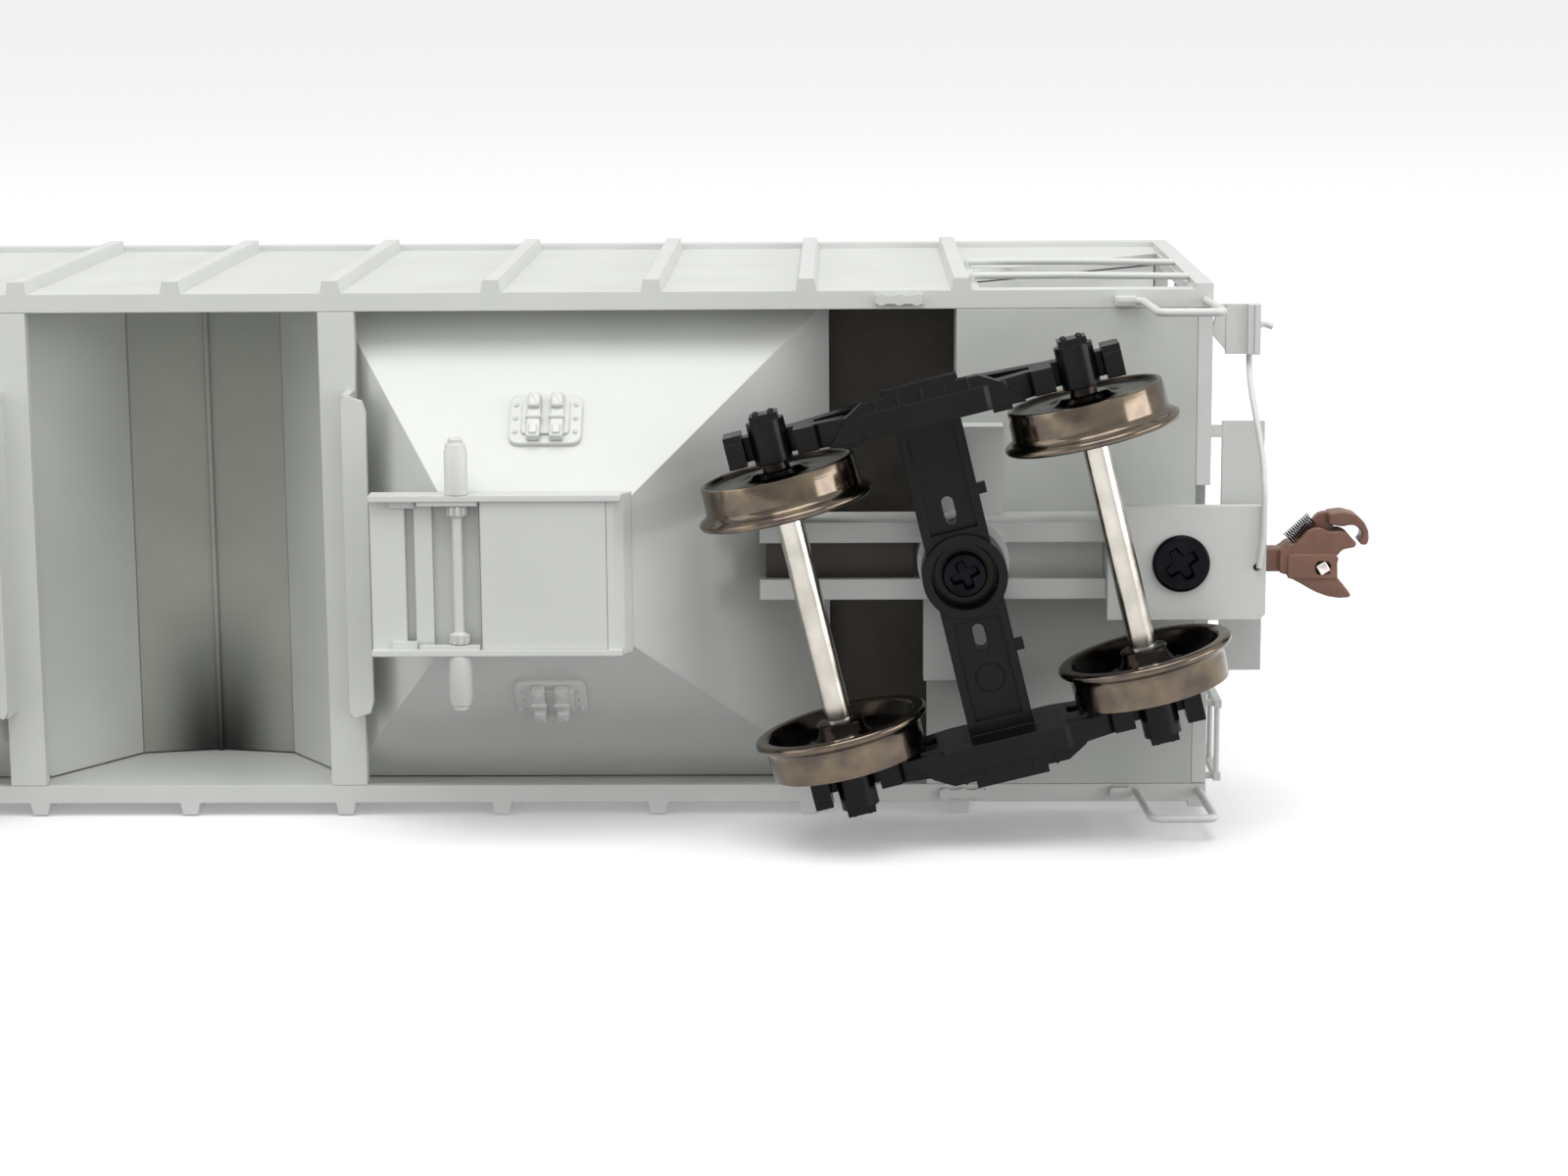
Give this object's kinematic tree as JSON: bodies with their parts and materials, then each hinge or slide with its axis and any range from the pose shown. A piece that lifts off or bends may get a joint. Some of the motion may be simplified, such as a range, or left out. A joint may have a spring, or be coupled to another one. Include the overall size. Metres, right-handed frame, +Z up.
{
  "type": "model hopper car",
  "caption": "Small-scale covered hopper wagon with exterior side posts, sloped outlet bays and gates, swivelling trucks with free-rolling wheelsets and swinging knuckle couplers.",
  "frame": {"origin": "under the middle of the car, at the lowest point of the wheel flanges", "axes": "+X along the car to end A, +Y to the side, +Z up, with the car standing upright on its wheels"},
  "size_m": [0.2052, 0.0374, 0.0534],
  "materials": {
    "grey_plastic": "satin light grey paint on moulded plastic",
    "black_plastic": "semi-matt moulded black",
    "brown_plastic": "matt moulded brown",
    "black_steel": "black oxide, satin",
    "dark_steel": "dull dark steel",
    "spring_steel": "dark spring wire",
    "nickel": "bright nickel plate",
    "wheel_metal": "dark bronze-tinted nickel plate, polished tread"
  },
  "bodies": {
    "car": {"side_a": "grey_plastic", "side_b": "grey_plastic", "roof": "grey_plastic", "hatch_covers": "grey_plastic", "running_boards": "grey_plastic", "end_slope_a": "grey_plastic", "end_slope_b": "grey_plastic", "end_frame_a": "grey_plastic", "end_frame_b": "grey_plastic", "ridge_sheets": "grey_plastic", "ballast_weights": "dark_steel", "crossbearers": "grey_plastic", "hopper_bay_a": "grey_plastic", "hopper_bay_center": "grey_plastic", "hopper_bay_b": "grey_plastic", "inspection_plates": "grey_plastic", "gate_frame_a": "grey_plastic", "gate_frame_center": "grey_plastic", "gate_frame_b": "grey_plastic", "gate_plates": "grey_plastic", "gate_shafts": "grey_plastic", "end_platforms": "grey_plastic", "center_sills": "grey_plastic", "draft_boxes": "grey_plastic", "draft_covers": "grey_plastic", "cover_screws": "black_steel", "centering_springs": "spring_steel", "crossover_platforms": "grey_plastic", "corner_brackets": "grey_plastic", "uncoupling_levers": "grey_plastic", "stirrup_steps": "grey_plastic", "side_rails": "grey_plastic", "end_ladders": "grey_plastic", "brake_wheel": "grey_plastic", "brake_housing": "grey_plastic", "brake_cylinder": "grey_plastic", "air_reservoir": "grey_plastic", "control_valve": "grey_plastic", "brake_pipes": "grey_plastic", "jacking_pads": "grey_plastic", "truck_screws": "black_steel", "screw_washers": "dark_steel"},
    "truck_a": {"truck_frame_a": "black_plastic"},
    "truck_b": {"truck_frame_b": "black_plastic"},
    "wheelset_a1": {"axle_a1": "nickel", "wheels_a1": "wheel_metal"},
    "wheelset_a2": {"axle_a2": "nickel", "wheels_a2": "wheel_metal"},
    "wheelset_b1": {"axle_b1": "nickel", "wheels_b1": "wheel_metal"},
    "wheelset_b2": {"axle_b2": "nickel", "wheels_b2": "wheel_metal"},
    "coupler_body_a": {"coupler_a": "brown_plastic", "knuckle_rivet_a": "nickel", "knuckle_spring_a": "spring_steel"},
    "coupler_body_b": {"coupler_b": "brown_plastic", "knuckle_rivet_b": "nickel", "knuckle_spring_b": "spring_steel"},
    "jaw_a": {"knuckle_a": "brown_plastic"},
    "jaw_b": {"knuckle_b": "brown_plastic"}
  },
  "joints": [
    {"name": "truck_a_swivel", "type": "hinge", "parent": "car", "child": "truck_a", "pos_m": [0.07534, 0.0004, 0.0085], "axis": [0, 0, 1], "range_deg": [0, 22]},
    {"name": "truck_b_swivel", "type": "hinge", "parent": "car", "child": "truck_b", "pos_m": [-0.07534, 0.0004, 0.0085], "axis": [0, 0, 1], "range_deg": [-8.5, 8.5]},
    {"name": "wheelset_a1_spin", "type": "hinge", "parent": "truck_a", "child": "wheelset_a1", "pos_m": [0.08545, -0.00204, 0.0059], "axis": [0.2351, 0.972, 0], "continuous": true},
    {"name": "wheelset_a2_spin", "type": "hinge", "parent": "truck_a", "child": "wheelset_a2", "pos_m": [0.06523, 0.00284, 0.0059], "axis": [0.2351, 0.972, 0], "continuous": true},
    {"name": "wheelset_b1_spin", "type": "hinge", "parent": "truck_b", "child": "wheelset_b1", "pos_m": [-0.08574, 0.0004, 0.0059], "axis": [0, 1, 0], "continuous": true},
    {"name": "wheelset_b2_spin", "type": "hinge", "parent": "truck_b", "child": "wheelset_b2", "pos_m": [-0.06494, 0.0004, 0.0059], "axis": [0, 1, 0], "continuous": true},
    {"name": "coupler_a_swing", "type": "hinge", "parent": "car", "child": "coupler_body_a", "pos_m": [0.0899, 0, 0.01055], "axis": [0, 0, 1], "range_deg": [-9, 9], "stiffness_Nm_per_rad": 0.0001},
    {"name": "knuckle_a_open", "type": "hinge", "parent": "coupler_body_a", "child": "jaw_a", "pos_m": [0.0995, 0.0004, 0.01055], "axis": [0, 0, 1], "range_deg": [-12, 0], "stiffness_Nm_per_rad": 0.00004, "deforming": ["knuckle_spring_a"]},
    {"name": "coupler_b_swing", "type": "hinge", "parent": "car", "child": "coupler_body_b", "pos_m": [-0.0899, 0, 0.01055], "axis": [0, 0, 1], "range_deg": [-9, 9], "stiffness_Nm_per_rad": 0.0001},
    {"name": "knuckle_b_open", "type": "hinge", "parent": "coupler_body_b", "child": "jaw_b", "pos_m": [-0.0995, -0.0004, 0.01055], "axis": [0, 0, 1], "range_deg": [-12, 0], "stiffness_Nm_per_rad": 0.00004, "deforming": ["knuckle_spring_b"]}
  ]
}
